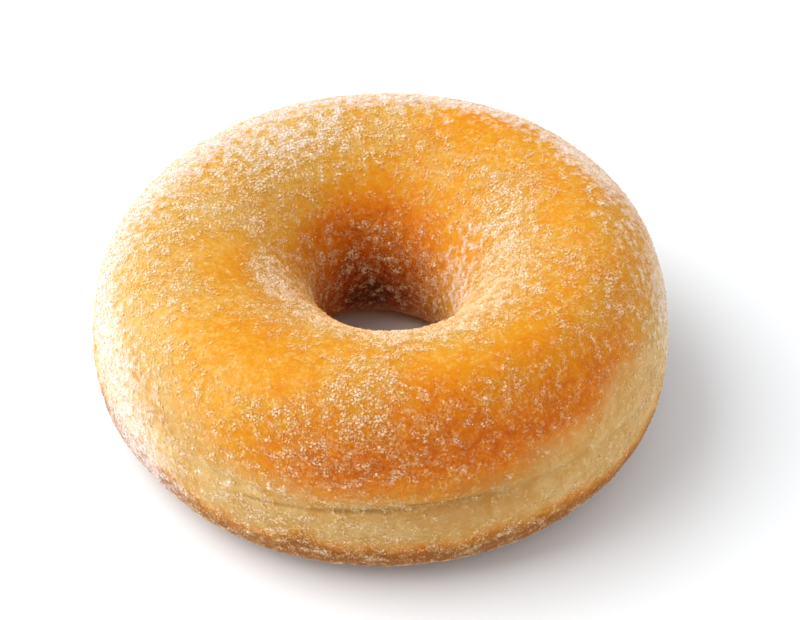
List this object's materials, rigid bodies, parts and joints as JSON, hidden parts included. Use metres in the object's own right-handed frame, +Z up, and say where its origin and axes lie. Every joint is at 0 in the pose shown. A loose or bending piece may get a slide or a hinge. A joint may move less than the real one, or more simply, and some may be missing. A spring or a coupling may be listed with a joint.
{
  "type": "sugared ring doughnut",
  "caption": "Fried yeast dough ring with a round hole, a pale band and fold round its side, and a coat of white sugar crystals; it rests on its flat brown underside.",
  "frame": {"origin": "middle of the outline, at the height of the flat underside that the doughnut rests on", "axes": "+Z up along the hole, +X along the widest direction, -Y towards the front as pictured"},
  "size_m": [0.0932, 0.0908, 0.0369],
  "materials": {
    "crust": "matte",
    "sugar": "satin"
  },
  "bodies": {
    "root": {"doughnut": "crust"}
  },
  "joints": []
}
